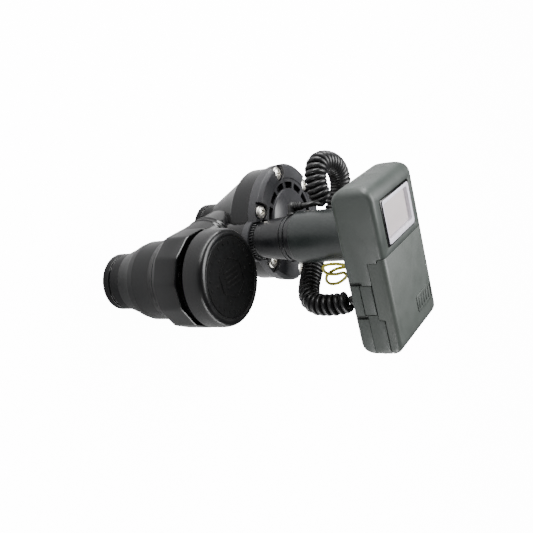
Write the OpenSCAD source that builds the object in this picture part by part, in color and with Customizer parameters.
// Anti-siphon irrigation valve with a battery powered controller on its solenoid neck.
// Millimetres. The origin is the centre of the inlet mouth, +Z runs up the two legs,
// the outlet leg stands at -X, and the display end of the controller points to +Y.

/* [Legs] */
// Distance between the inlet and outlet axes
leg_spacing = 99; // [97:0.5:103]
// Outside radius of each pipe socket
socket_r = 17.5; // [17:0.1:18]
// Wall radius of the threaded bore in each socket
thread_r = 13.3; // [13.1:0.05:13.5]
// Depth of the threaded bore
thread_depth = 18; // [15:0.5:20]

/* [Body] */
// Radius of the crossover conduit between the legs
conduit_r = 19.5; // [18:0.25:20]
// Height of the conduit's axis
conduit_z = 31; // [30:0.5:32]
// Radius of the body flange under the bonnet
flange_r = 38; // [37.5:0.25:38.5]
// Height of the joint between the body and the bonnet
joint_z = 62; // [61.5:0.25:62.5]

/* [Bonnet] */
// Largest radius of the bonnet flange
bonnet_r = 39.9; // [39.5:0.1:40.5]
// Height of the bonnet's flat top face
bonnet_top = 71.7; // [71.5:0.1:72.2]
// Radius of the screw circle
screw_circle_r = 34.4; // [34.2:0.1:34.6]
// Number of slots round the dome, with the ones behind the neck left solid
slot_count = 14; // [12:2:16]
// Height of the crown of the central dome
dome_top = 75.5; // [74.5:0.25:76.5]

/* [Vacuum breaker] */
// Height of the collar's rim
collar_top = 68.3; // [67.5:0.1:68.5]
// Radius over the corners of the twelve sided collar
collar_r = 29.5; // [29:0.1:30]
// Outside radius of the vent cap
cap_r = 28.7; // [28:0.1:29.5]
// Height of the vent cap's flat top
cap_top = 86.2; // [84:0.1:87]
// Lift of the float
float_travel = 6; // [5:0.5:6]

/* [Solenoid] */
// Distance from the bonnet's centre to the solenoid axis
neck_offset = 35.3; // [35:0.1:35.6]
// Radius of the solenoid housing at its foot
housing_foot_r = 11.5; // [11.3:0.1:12]
// Radius of the solenoid housing at its head
housing_head_r = 14; // [13.5:0.1:14.2]
// Outside radius of the adapter tube
adapter_r = 16.3; // [16:0.1:16.5]
// Height of the adapter tube's lower end
adapter_z = 97.3; // [97:0.1:98]

/* [Controller] */
// Width of the controller case
case_w = 61.2; // [60:0.2:62]
// Height of the case's back face, where the adapter tube ends
case_back = 139.6; // [139:0.1:140]
// Thickness of the case from back to front
case_t = 26; // [26:0.1:26.5]
// How far the case reaches above the neck axis
case_up = 35; // [34.5:0.25:35.5]
// How far the case reaches below the neck axis
case_down = 67; // [66.8:0.1:67.4]
// Radius of the rounded upper and lower ends
case_end_r = 8.5; // [8:0.1:9]
// Width of the display window
window_w = 44; // [43:0.5:45]
// Length of the display window
window_h = 28; // [27:0.5:28.5]

/* [Cords] */
// Radius of the cord between the solenoid and the controller
cord_r = 1.7; // [1.6:0.05:1.9]
// Outside radius of the cord's coiled stretch
coil_r = 7.2; // [7:0.1:7.4]
// Radius of the jumper wire
jumper_r = 0.95; // [0.8:0.05:1]

/* [Hidden] */

// Facets asked of every round surface.
round_fn = 72;
// Overlap that lets a cut pass cleanly through a face.
eps = 0.5;

// Valve levels and inside sizes.
riser_r = 10;
riser_wall_r = 13.5;
seat_z = 53;
chamber_r = 27;
chamber_floor = 38;
ledge_r = 32;
ledge_z = joint_z - 1.2;
passage_r = 11;
throat_r = 10;
float_seat_z = 46;
float_chamber_r = 20;
seat_ring_z = 60;
seat_ring_r = 24.5;
seat_ring_t = 3.5;
stem_r = 3;
stem_top = cap_top - 2.5 - float_travel - 0.5;
cap_rim = 72.8;
cap_flat_r = 25.4;
post_circle_r = 17;

// Bonnet details.
screw_count = 6;
screw_angle = 30;
screw_floor = 68.2;
screw_head_r = 4.5;
screw_head_h = 2.8;
screw_shank_r = 2.05;
slot_in_r = 23;
slot_out_r = 27.5;
slot_floor = 67.2;
slot_first = 46;
slot_rib = 3;
neck_pocket_r = 13.2;
neck_floor = 66.7;
lobe_r = 12.8;
spring_pocket_r = 9.5;
spring_pocket_z = 71;

// Solenoid details.
neck_x = -neck_offset;
housing_z = 70;
band_z = 90;
band_r = housing_head_r + 0.3;
knurl_r = 12.5;
knurl_teeth = 40;
core_out_r = 4.5;
core_in_r = 3.8;
plunger_r = 3.72;
gland_angle = 72;
gland_reach = 19.6;
gland_z = 93;
gland_end = 100.5;

// Case levels and inside sizes.
case_front = case_back + case_t;
case_x0 = neck_x - case_w / 2;
case_x1 = neck_x + case_w / 2;
wall = 2.2;
tray_top = case_back + 8.9;
tray_end = -19.9;
mid_bottom = tray_top + 0.3;
skirt_bottom = case_back + 15.5;
mid_top = skirt_bottom - 0.3;
mid_end = -59.6;
cheek_y = -43;
cheek_top = case_back + 18.7;
cover_y = -6.6;
cover_side_y = -8.8;
cover_t = 2;
deck_top = case_back + 21.8;
deck_inset = 2.6;
deck_t = 2;
hinge_y = -63.5;
hinge_z = case_back + 13.4;
hinge_r = 3;
pin_r = 1.25;
ear_in = 2.6;
ear_w = 3;
bay_x0 = case_x0 + 5.1;
bay_x1 = case_x1 - 4.3;
bay_y0 = -57;
bay_y1 = -29;
window_y = 11;
board_z = case_back + 15.8;
board_t = 1.6;
button_y = -17;
button_step = 12;
button_x0 = neck_x - 1.5 * button_step;
tab_y0 = -40;
tab_y1 = -22;
tab_t = 1.5;

// Where the cords leave the case.
case_gland_at = [-43, -41.5];
case_gland_end = 134.5;
grommet_at = [-50, -16.4];
grommet_end = 138;

// Routes, as round points chosen by hand.
curly_route = [[-16, 14.5, 107.5], [-16.5, 20, 107.5], [-16.5, 27, 106.5], [-14, 34, 106],
    [-8, 39.5, 106], [2, 38, 107], [10, 33.5, 107.5], [15, 27, 107], [16, 20, 106.5],
    [14, 14, 106], [8, 6, 104.5], [1, -5, 99], [-8, -16, 93], [-14, -24.5, 90.5],
    [-21, -29, 91.5], [-31, -34.5, 93], [-39, -40, 96], [-43, -43, 103], [-44, -43, 110],
    [-44, -43, 117], [-43, -42, 123], [-43, -41.5, 129]];
tail_solenoid_route = [[-29.2, 18.6, 100.5], [-29, 18.6, 103.5], [-26.5, 18.6, 107.5],
    [-21.5, 16.5, 108.5], [-16, 14.5, 107.5]];
tail_case_route = [[-43, -41.5, 129], [-43, -41.5, 132], [-43, -41.5, 134.5]];
jumper_route = [[-51.1, -15.6, 138], [-51.3, -14.2, 134.4], [-51.2, -13, 127.2],
    [-50.6, -13.8, 119.5], [-50, -16.4, 117.2], [-49, -19.8, 118.5], [-48, -20.9, 123.9],
    [-47.2, -20.4, 128.8], [-46, -23.4, 129.5], [-45, -27.6, 123.2], [-45, -28.4, 117.3],
    [-45.4, -25.9, 115], [-46.2, -21.7, 117], [-47, -18, 124], [-48.4, -16.4, 132],
    [-48.9, -16.6, 138]];

// Outlines and sweeps.
function unit(v) = v / norm(v);
function bezier(a, b, c, d, steps) = [for (i = [0:steps]) let (t = i / steps, s = 1 - t)
    s * s * s * a + 3 * s * s * t * b + 3 * s * t * t * c + t * t * t * d];
function helix(r, z0, z1, turns, per_turn) = [for (i = [0:turns * per_turn])
    let (a = 360 * i / per_turn, t = i / (turns * per_turn))
    [r * cos(a), r * sin(a), z0 + (z1 - z0) * t]];

// A smooth curve through every point of a route.
function at(p, i) = p[max(0, min(len(p) - 1, i))];
function through(a, b, c, d, t) = b + 0.5 * t * (c - a + t * (2 * a - 5 * b + 4 * c - d
    + t * (3 * b - 3 * c + d - a)));
function smooth(p, steps) = concat([for (i = [0:len(p) - 2]) for (k = [0:steps - 1])
    through(at(p, i - 1), p[i], p[i + 1], at(p, i + 2), k / steps)], [p[len(p) - 1]]);

// Ring directions are carried along a path, so that the tube doesn't twist.
function tangents(p) = [for (i = [0:len(p) - 1]) unit(at(p, i + 1) - at(p, i - 1))];
function square_to(v, t) = unit(v - (v * t) * t);
function carried(t) = [for (i = 0, n = square_to(cross(t[0], [0.31, 0.87, 0.38]), t[0]);
    i < len(t); i = i + 1, n = square_to(n, t[min(i, len(t) - 1)])) n];

module swept_tube(path, r, sides) {
    t = tangents(path);
    n = carried(t);
    rings = len(path);
    points = [for (i = [0:rings - 1]) let (b = cross(t[i], n[i])) for (k = [0:sides - 1])
        path[i] + r * (cos(360 * k / sides) * n[i] + sin(360 * k / sides) * b)];
    sidewalls = [for (i = [0:rings - 2]) for (k = [0:sides - 1]) let (m = (k + 1) % sides)
        [i * sides + k, (i + 1) * sides + k, (i + 1) * sides + m, i * sides + m]];
    first = [for (k = [0:sides - 1]) k];
    last = [for (k = [sides - 1:-1:0]) (rings - 1) * sides + k];
    polyhedron(points, concat(sidewalls, [first, last]));
}

module turned(outline) {
    rotate_extrude($fn = round_fn) polygon(outline);
}

module drum(r, z0, z1) {
    translate([0, 0, z0]) cylinder(r = r, h = z1 - z0, $fn = round_fn);
}

module along_x(r, x0, x1, y, z) {
    translate([x0, y, z]) rotate([0, 90, 0]) cylinder(r = r, h = x1 - x0, $fn = round_fn);
}

module block(low, high) {
    translate(low) cube(high - low);
}

module rounded_rect(low, high, r) {
    translate([low[0] + r, low[1]]) square([high[0] - low[0] - 2 * r, high[1] - low[1]]);
    translate([low[0], low[1] + r]) square([high[0] - low[0], high[1] - low[1] - 2 * r]);
    for (x = [low[0] + r, high[0] - r], y = [low[1] + r, high[1] - r])
        translate([x, y]) circle(r = r, $fn = 32);
}

module rounded_plate(low, high, z0, z1, r) {
    translate([0, 0, z0]) linear_extrude(z1 - z0) rounded_rect(low, high, r);
}

module at_neck() {
    translate([neck_x, 0, 0]) children();
}

module at_outlet() {
    translate([-leg_spacing, 0, 0]) children();
}

module at_screws() {
    for (k = [0:screw_count - 1]) rotate(screw_angle + k * 360 / screw_count)
        translate([screw_circle_r, 0, 0]) children();
}

// The lip groove that both sockets share, as a radius and height list.
socket_lip = [[0, 0], [socket_r - 0.4, 0], [socket_r, 0.6], [socket_r, 5.7],
    [socket_r - 0.7, 6], [socket_r - 0.7, 6.5], [socket_r, 6.8]];

module inlet_bowl() {
    turned(concat(socket_lip, [[socket_r, 13.4], [18.2, 14], [20.2, 17.5], [34.9, 44.6],
        [36.6, 46.9], [flange_r - 0.4, 47.4], [flange_r, 48], [flange_r, joint_z], [0, joint_z]]));
}

module outlet_leg() {
    turned(concat(socket_lip, [[socket_r, 13.8], [socket_r + 0.8, 14.6], [21.5, 23], [23.3, 27],
        [24, 30], [24, 46], [0, 46]]));
}

module vent_collar() {
    intersection() {
        rotate(14) translate([0, 0, 43]) cylinder(r = collar_r, h = collar_top - 43, $fn = 12);
        turned([[0, 43], [23.8, 43], [24.6, 45.5], [26, 48], [collar_r + 0.1, 53],
            [collar_r + 0.1, collar_top - 0.8], [collar_r - 0.7, collar_top + eps],
            [0, collar_top + eps]]);
    }
}

module valve_body() {
    color("#16181a") difference() {
        union() {
            inlet_bowl();
            at_outlet() outlet_leg();
            at_outlet() vent_collar();
            along_x(conduit_r, -leg_spacing, -5, 0, conduit_z);
            at_neck() drum(lobe_r, 40, joint_z);
        }
        // inlet, riser and the chamber round it
        drum(thread_r, -eps, thread_depth);
        drum(riser_r, thread_depth - eps, seat_z + eps);
        difference() {
            drum(chamber_r, chamber_floor, joint_z + eps);
            drum(riser_wall_r, chamber_floor - eps, seat_z);
        }
        drum(ledge_r, ledge_z, joint_z + eps);
        // crossing passage
        along_x(passage_r, -leg_spacing, -riser_wall_r - 1.5, 0, conduit_z);
        // outlet and float chamber
        at_outlet() {
            drum(thread_r, -eps, thread_depth);
            drum(throat_r, thread_depth - eps, float_seat_z + eps);
            difference() {
                drum(float_chamber_r, float_seat_z - 1.5, seat_ring_z + eps);
                drum(throat_r + 2, float_seat_z - 2, float_seat_z);
            }
            drum(seat_ring_r, seat_ring_z, collar_top + 1);
        }
        // pilot port and screw holes
        at_neck() drum(1.5, conduit_z, joint_z + eps);
        at_screws() drum(screw_shank_r + 0.05, 48.5, joint_z + eps);
    }
}

// Bonnet, clamped on the diaphragm by six screws.
module slot_ring() {
    difference() {
        drum(slot_out_r, slot_floor, bonnet_top + eps);
        drum(slot_in_r, slot_floor - eps, bonnet_top + 1);
        for (k = [0:slot_count - 1]) rotate(slot_first + (k + 0.5) * 360 / slot_count)
            translate([0, -slot_rib / 2, slot_floor - eps]) cube([slot_out_r + 1, slot_rib, 9]);
        at_neck() drum(18, slot_floor - 1, bonnet_top + 2);
    }
}

module bonnet() {
    color("#1d1f21") difference() {
        union() {
            turned(concat([[0, joint_z], [bonnet_r - 0.5, joint_z], [bonnet_r, bonnet_top - 2],
                [bonnet_r - 2.1, bonnet_top], [slot_in_r - 0.5, bonnet_top]],
                bezier([slot_in_r - 0.6, bonnet_top + 0.2], [17, bonnet_top + 2.4],
                    [9, dome_top], [0, dome_top], 10)));
            at_neck() drum(neck_pocket_r + 0.6, joint_z, neck_floor);
        }
        slot_ring();
        at_neck() drum(neck_pocket_r, neck_floor, dome_top + 2);
        at_screws() {
            drum(screw_head_r + 0.8, screw_floor, dome_top);
            block([0, -screw_head_r - 0.8, screw_floor], [12, screw_head_r + 0.8, dome_top]);
            drum(screw_shank_r + 0.25, joint_z - eps, screw_floor + eps);
        }
        // control chamber, spring pocket, solenoid seat and its port
        drum(chamber_r - 0.5, joint_z - eps, joint_z + 3.2);
        drum(spring_pocket_r, joint_z, spring_pocket_z);
        at_neck() drum(6.9, joint_z + 1, neck_floor + eps);
        at_neck() drum(1.5, joint_z - eps, joint_z + 2);
    }
}

module bonnet_screw() {
    difference() {
        union() {
            turned(concat([[0, screw_floor], [screw_head_r, screw_floor]],
                bezier([screw_head_r, screw_floor + 1.3], [screw_head_r - 0.4, screw_floor + 2.3],
                    [2.4, screw_floor + screw_head_h], [0, screw_floor + screw_head_h], 6)));
            drum(screw_shank_r, 49, screw_floor + eps);
        }
        for (a = [0, 90]) rotate(a)
            block([-2.6, -0.55, screw_floor + 1.3], [2.6, 0.55, screw_floor + 4]);
    }
}

module bonnet_screws() {
    color("#c9cbcc") at_screws() bonnet_screw();
}

// Diaphragm and what it lifts off the seat.
module diaphragm() {
    color("#2a2422") turned([[4.3, 55.5], [18, 55.5], [24.5, 59.2], [chamber_r, ledge_z],
        [ledge_r - 0.1, ledge_z], [ledge_r - 0.1, joint_z], [chamber_r + 0.2, joint_z],
        [24, 60.2], [17.7, 56.3], [4.3, 56.3]]);
}

module diaphragm_plate() {
    color("#8d8f90") turned([[0, 52], [4, 52], [4, 56.5], [15, 56.5], [16, 57.2], [16, 58],
        [9.5, 58.5], [6, 58.5], [6, 60], [0, 60]]);
}

module seat_disc() {
    color("#2a2422") turned([[4, 53.3], [12.5, 53.3], [12.5, 55.3], [4, 55.3]]);
}

module diaphragm_spring() {
    color("#b8babb") swept_tube(helix(8, 59.4, spring_pocket_z - 0.8, 5, 12), 0.6, 8);
}

// Vacuum breaker: seat ring, float and vent cap.
module vb_seat_ring() {
    color("#202224") at_outlet() difference() {
        union() {
            drum(seat_ring_r - 0.1, seat_ring_z, seat_ring_z + seat_ring_t);
            for (k = [0:3]) rotate(45 + k * 90) translate([post_circle_r, 0, 0])
                drum(2.4, seat_ring_z, cap_top - 6);
        }
        drum(throat_r, seat_ring_z - eps, seat_ring_z + seat_ring_t + eps);
    }
}

module vb_float() {
    color("#e4e2da") at_outlet() turned([[0, 45.2], [7, 45.2], [8.5, 46.4], [14, 46.4], [14.6, 47],
        [14.6, 50.4], [14, 51], [stem_r + 1.6, 51], [stem_r, 54.5], [stem_r, stem_top - 0.6],
        [stem_r - 0.6, stem_top], [0, stem_top]]);
}

module vb_float_seal() {
    color("#26211f") at_outlet() turned([[6, 51], [13.4, 51], [13.4, 53.5], [6, 53.5]]);
}

module cap_shell() {
    difference() {
        turned(concat([[0, cap_top - 2.2], [cap_flat_r - 3, cap_top - 2.2]],
            bezier([cap_flat_r - 1, cap_top - 2.2], [cap_r - 3.6, cap_top - 2.6],
                [cap_r - 2.4, cap_top - 5], [cap_r - 2.2, cap_rim], 6),
            [[cap_r - 0.4, cap_rim], [cap_r, cap_rim + 0.5]],
            bezier([cap_r, cap_top - 6], [cap_r - 0.3, cap_top - 2.4],
                [cap_flat_r + 2.5, cap_top - 0.6], [cap_flat_r, cap_top], 8),
            [[0, cap_top]]));
        translate([0, 0, cap_top - 0.7]) rotate_extrude($fn = round_fn)
            translate([20.3, 0]) square([1, 2]);
    }
}

module vb_cap() {
    color("#1b1d1e") at_outlet() difference() {
        union() {
            cap_shell();
            drum(6, cap_top - 12, cap_top - 2);
            for (k = [0:3]) rotate(45 + k * 90)
                translate([post_circle_r, 0, 0]) drum(3.4, cap_top - 6, cap_top - 2);
        }
        drum(stem_r + 0.06, cap_top - 13, cap_top - 2.2);
    }
}

// Solenoid on its neck.
module solenoid_base() {
    color("#1a1c1e") at_neck() difference() {
        union() {
            turned([[0, joint_z + 1.2], [6.8, joint_z + 1.2], [6.8, neck_floor],
                [knurl_r - 0.7, neck_floor], [knurl_r - 0.7, housing_z], [0, housing_z]]);
            for (k = [0:knurl_teeth - 1]) rotate(k * 360 / knurl_teeth)
                block([knurl_r - 2, -0.45, neck_floor], [knurl_r, 0.45, housing_z - 0.4]);
        }
        drum(core_out_r, joint_z + 2.4, housing_z + eps);
        drum(1.5, joint_z, joint_z + 3);
    }
}

module solenoid_seal() {
    color("#262423") at_neck() difference() {
        drum(6.7, joint_z + 1, joint_z + 1.2);
        drum(3, joint_z, joint_z + 2);
    }
}

module solenoid_housing() {
    color("#17191b") at_neck() difference() {
        turned([[0, housing_z], [housing_foot_r, housing_z], [housing_head_r, band_z],
            [band_r, band_z + 0.3], [band_r, band_z + 2.6], [band_r - 0.7, band_z + 2.9],
            [band_r - 0.7, band_z + 3.9], [band_r, band_z + 4.2], [band_r, adapter_z],
            [0, adapter_z]]);
        drum(10.2, housing_z + 1.4, adapter_z - 3);
        drum(core_out_r, housing_z - eps, housing_z + 2);
        drum(3, adapter_z - 4, adapter_z + eps);
    }
}

module solenoid_winding() {
    color("#a8642c") at_neck() difference() {
        turned([[0, 71.6], [9.9, 71.6], [9.9, 73], [9.2, 73], [9.2, 88], [9.9, 88], [9.9, 89.4],
            [0, 89.4]]);
        drum(core_out_r + 0.1, 71, 90);
    }
}

module core_tube() {
    color("#b4b6b7") at_neck() difference() {
        drum(core_out_r, joint_z + 2.4, 90);
        drum(core_in_r, joint_z + 3.4, 91);
        drum(1.5, joint_z + 2, joint_z + 4);
    }
}

module core_stop() {
    color("#9a9c9d") at_neck() drum(core_in_r - 0.05, 84, 90);
}

module plunger() {
    color("#9a9c9d") at_neck() turned([[0, 65.7], [plunger_r - 0.5, 65.7], [plunger_r, 66.2],
        [plunger_r, 79.6], [plunger_r - 0.4, 80], [0, 80]]);
}

module plunger_spring() {
    color("#b8babb") at_neck() swept_tube(helix(2.6, 80.5, 83.5, 4, 12), 0.3, 8);
}

module solenoid_gland() {
    color("#141517") at_neck() rotate(gland_angle) difference() {
        union() {
            along_x(2.9, housing_head_r - 0.3, gland_reach, 0, gland_z);
            translate([gland_reach, 0, gland_z]) sphere(r = 2.9, $fn = 32);
            translate([gland_reach, 0, gland_z])
                cylinder(r1 = 2.9, r2 = 2.5, h = gland_end - gland_z, $fn = 32);
        }
        drum(band_r, gland_z - 6, gland_end);
    }
}

// Controller: adapter tube and case. The case's outer form is three crossed outlines.
module adapter_tube() {
    color("#3b423f") at_neck() difference() {
        drum(adapter_r, adapter_z, case_back);
        drum(adapter_r - 1.7, adapter_z + 2.2, case_back + eps);
        drum(8, adapter_z - eps, adapter_z + 3);
    }
}

module case_form() {
    intersection() {
        rounded_plate([case_x0, -case_down], [case_x1, case_up], case_back, case_front, 5.5);
        translate([case_x0 - 1, 0, 0]) rotate([90, 0, 90]) linear_extrude(case_w + 2)
            rounded_rect([-case_down, case_back], [case_up, case_front], case_end_r);
    }
}

module slice(outline) {
    translate([case_x0 - 2, 0, 0]) rotate([90, 0, 90]) linear_extrude(case_w + 4)
        polygon(outline);
}

module case_housing() {
    top = case_up + 2;
    color("#464d49") difference() {
        union() {
            intersection() {
                case_form();
                slice([[top, case_back - 1], [top, case_front + 1], [cover_y + 0.4, case_front + 1],
                    [cover_y + 0.4, deck_top], [cover_side_y + 0.3, mid_top + 5],
                    [cover_side_y + 0.3, mid_top], [cheek_y - 0.3, mid_top],
                    [cheek_y - 1.1, cheek_top], [-case_down + 2, cheek_top],
                    [-case_down - 0.5, cheek_top - 1.25], [-case_down - 0.5, mid_bottom],
                    [tray_end + 0.3, mid_bottom], [tray_end + 0.3, case_back - 1]]);
            }
            block([case_x0 + deck_inset, mid_end + 0.4, mid_bottom],
                [case_x1 - deck_inset, cover_y + 1, deck_top]);
        }
        // space for the board and the display
        block([case_x0 + wall, tray_end + 2.5, case_back + wall],
            [case_x1 - wall, case_up - 5, case_back + 14]);
        block([case_x0 + wall, cover_y + 1.6, case_back + 13.5],
            [case_x1 - wall, case_up - 5, case_front - wall]);
        block([case_x0 + 4.8, bay_y1 + 1.6, mid_bottom + 2],
            [case_x1 - 4.8, cover_y + 3, deck_top - deck_t]);
        block([neck_x - window_w / 2, window_y - window_h / 2, case_front - 4],
            [neck_x + window_w / 2, window_y + window_h / 2, case_front + 1]);
        // battery bay, button holes, hinge pin, grommet and tab pockets
        block([bay_x0, bay_y0, mid_bottom - 1], [bay_x1, bay_y1, deck_top + 1]);
        for (k = [0:3]) translate([button_x0 + k * button_step, button_y, deck_top - 3])
            linear_extrude(5) rounded_rect([-4.3, -3], [4.3, 3], 1.2);
        along_x(pin_r, case_x0 + 1, case_x1 - 1, hinge_y, hinge_z);
        for (x = [case_x0 + ear_in, case_x1 - ear_in - ear_w]) block([x - 0.3,
            -case_down - 1, mid_bottom - 1], [x + ear_w + 0.3, hinge_y + 3.4, cheek_top + 1]);
        translate([grommet_at[0], grommet_at[1], 0]) drum(1.8, case_back - 1, case_back + 3);
        tab_pockets();
    }
}

module tab_pockets() {
    for (x = [case_x0 - 1, case_x1 - tab_t - 0.1])
        block([x, tab_y0 - 0.3, case_back + 7.2], [x + tab_t + 1.1, tab_y1 + 0.3, mid_top + eps]);
}

module back_tray() {
    color("#3c433f") difference() {
        intersection() {
            case_form();
            slice([[tray_end, case_back - 1], [tray_end, tray_top],
                [-case_down - 1, tray_top], [-case_down - 1, case_back - 1]]);
        }
        block([bay_x0, bay_y0, case_back + wall], [bay_x1, bay_y1, tray_top + 1]);
        tab_pockets();
        for (x = [case_x0 - 1, case_x1 - 2], y = [tab_y0 - 3, tab_y1 - 0.3])
            block([x, y, case_back - 1], [x + 3, y + 2.8, tray_top + 1]);
        for (x = [case_x0 + 8, case_x1 - 8])
            translate([x, -62, 0]) drum(2.8, case_back - 1, case_back + 2);
        translate([case_gland_at[0], case_gland_at[1], 0]) drum(3, case_back - 1, case_back + 3);
    }
}

module case_gasket() {
    color("#24211f") difference() {
        rounded_plate([case_x0 + 2, -58.8], [case_x1 - 2, -21.5], tray_top, mid_bottom, 2);
        rounded_plate([bay_x0, bay_y0], [bay_x1, bay_y1], tray_top - 1, mid_bottom + 1, 1);
    }
}

module case_screws() {
    color("#a9abac") for (x = [case_x0 + 8, case_x1 - 8])
        translate([x, -62, 0]) difference() {
            union() {
                drum(2.5, case_back + 0.3, case_back + 2);
                drum(1.2, case_back + 1, case_back + 2);
            }
            for (a = [0, 90]) rotate(a)
                block([-1.5, -0.35, case_back], [1.5, 0.35, case_back + 1.2]);
        }
}

module latch_tab(x) {
    color("#3c433f") block([x, tab_y0, case_back + 7.5], [x + tab_t, tab_y1, mid_top - 0.3]);
}

module latch_tab_left() {
    latch_tab(case_x0);
}

module latch_tab_right() {
    latch_tab(case_x1 - tab_t);
}

module front_cover() {
    low = -case_down - 1;
    edge = cheek_top + 0.6;
    color("#787c78") difference() {
        union() {
            intersection() {
                case_form();
                slice([[cover_y, case_front + 1], [cover_y, deck_top + 0.4],
                    [cover_side_y, mid_top + 5], [cover_side_y, skirt_bottom],
                    [cheek_y, skirt_bottom], [cheek_y - 0.6, edge], [low, edge],
                    [low, case_front + 1]]);
            }
            // plain raised badge
            translate([0, 0, case_front - eps]) linear_extrude(eps + 0.5)
                rounded_rect([neck_x + 2, -54], [neck_x + 26, -43], 2);
        }
        block([case_x0 + wall, -case_down + 5, skirt_bottom - 1],
            [case_x1 - wall, cover_y + 1, case_front - cover_t]);
    }
    color("#787c78") for (x = [case_x0 + ear_in, case_x1 - ear_in - ear_w]) difference() {
        union() {
            along_x(hinge_r, x, x + ear_w, hinge_y, hinge_z);
            block([x, hinge_y - 1.5, hinge_z], [x + ear_w, hinge_y + 1.4, edge + 0.6]);
        }
        along_x(pin_r + 0.06, x - 1, x + ear_w + 1, hinge_y, hinge_z);
    }
}

module hinge_pin() {
    color("#9c9e9f") along_x(pin_r, case_x0 + 1, case_x1 - 1, hinge_y, hinge_z);
}

module window_plate(w, h, z0, z1, r) {
    rounded_plate([neck_x - w / 2, window_y - h / 2], [neck_x + w / 2, window_y + h / 2],
        z0, z1, r);
}

module window_lens() {
    color("#d8d4da", 0.4) union() {
        window_plate(window_w - 0.6, window_h - 0.6, case_front - 2, case_front - 0.2, 1.5);
        window_plate(window_w - 3, window_h - 3, case_front - 1, case_front + 0.4, 1.2);
    }
}

module window_frame() {
    color("#1c1e1f") difference() {
        window_plate(window_w + 3, window_h + 2.4, case_front - 4, case_front - wall - 0.1, 1.5);
        window_plate(window_w - 3, window_h - 3, case_front - 5, case_front, 1);
    }
}

module lcd_panel() {
    color("#b9b3b1") union() {
        window_plate(window_w - 4, window_h - 4, case_front - 6, case_front - 4.4, 0.8);
        window_plate(window_w + 2, window_h - 2, case_front - 7.6, case_front - 6, 0.8);
    }
}

module circuit_board() {
    color("#1f5a38") union() {
        block([case_x0 + 5.6, -26, board_z], [case_x1 - 5.6, case_up - 5, board_z + board_t]);
        block([neck_x - 8, 0, board_z - 2], [neck_x + 6, 14, board_z]);
        block([neck_x - 20, 18, board_z - 3], [neck_x - 12, 24, board_z]);
        for (k = [0:3]) block([neck_x + 12, -12 + 7 * k, board_z - 1.5],
            [neck_x + 18, -9 + 7 * k, board_z]);
    }
}

module button(k) {
    color("#8d918d") translate([button_x0 + k * button_step, button_y, 0]) {
        translate([0, 0, deck_top - 2.8]) linear_extrude(3.6)
            rounded_rect([-4, -2.7], [4, 2.7], 1);
        translate([0, 0, deck_top - 3]) linear_extrude(0.6)
            rounded_rect([-4.9, -3.6], [4.9, 3.6], 1);
    }
}

module button_1() {
    button(0);
}

module button_2() {
    button(1);
}

module button_3() {
    button(2);
}

module button_4() {
    button(3);
}

module battery() {
    mid_y = (bay_y0 + bay_y1) / 2;
    color("#3a3d42") union() {
        rounded_plate([bay_x0 + 0.4, mid_y - 13.2], [bay_x0 + 46, mid_y + 13.2],
            case_back + 2.4, case_back + 19.8, 2);
        for (y = [mid_y - 6.4, mid_y + 6.4])
            along_x(2.9, bay_x0 + 46, bay_x0 + 48.2, y, case_back + 11);
    }
}

module battery_snap() {
    mid_y = (bay_y0 + bay_y1) / 2;
    color("#141516") block([bay_x0 + 48.3, mid_y - 12, case_back + 5],
        [bay_x0 + 51, mid_y + 12, case_back + 17]);
}

module case_gland() {
    color("#141517") translate([case_gland_at[0], case_gland_at[1], 0]) union() {
        drum(5, case_back - 1.8, case_back);
        drum(2.9, case_back, case_back + 2);
        translate([0, 0, case_gland_end])
            cylinder(r1 = 2.6, r2 = 3.6, h = case_back - 1.8 - case_gland_end, $fn = 32);
    }
}

module wire_grommet() {
    color("#141517") translate([grommet_at[0], grommet_at[1], 0]) {
        drum(2.5, grommet_end, case_back);
        drum(1.75, case_back - eps, case_back + 2);
    }
}

// Cords.
module curly_cord() {
    color("#101112") swept_tube(smooth(curly_route, 3), coil_r, 12);
}

module cord_tail_solenoid() {
    color("#101112") swept_tube(smooth(tail_solenoid_route, 3), cord_r, 8);
}

module cord_tail_case() {
    color("#101112") swept_tube(smooth(tail_case_route, 2), cord_r, 8);
}

module jumper_wire() {
    color("#a39c2e") swept_tube(smooth(jumper_route, 4), jumper_r, 8);
}

valve_body();
bonnet();
bonnet_screws();
diaphragm();
diaphragm_plate();
seat_disc();
diaphragm_spring();
vb_seat_ring();
vb_float();
vb_float_seal();
vb_cap();
solenoid_base();
solenoid_seal();
solenoid_housing();
solenoid_winding();
core_tube();
core_stop();
plunger();
plunger_spring();
solenoid_gland();
adapter_tube();
case_housing();
back_tray();
case_gasket();
case_screws();
latch_tab_left();
latch_tab_right();
front_cover();
hinge_pin();
window_lens();
window_frame();
lcd_panel();
circuit_board();
button_1();
button_2();
button_3();
button_4();
battery();
battery_snap();
case_gland();
wire_grommet();
curly_cord();
cord_tail_solenoid();
cord_tail_case();
jumper_wire();
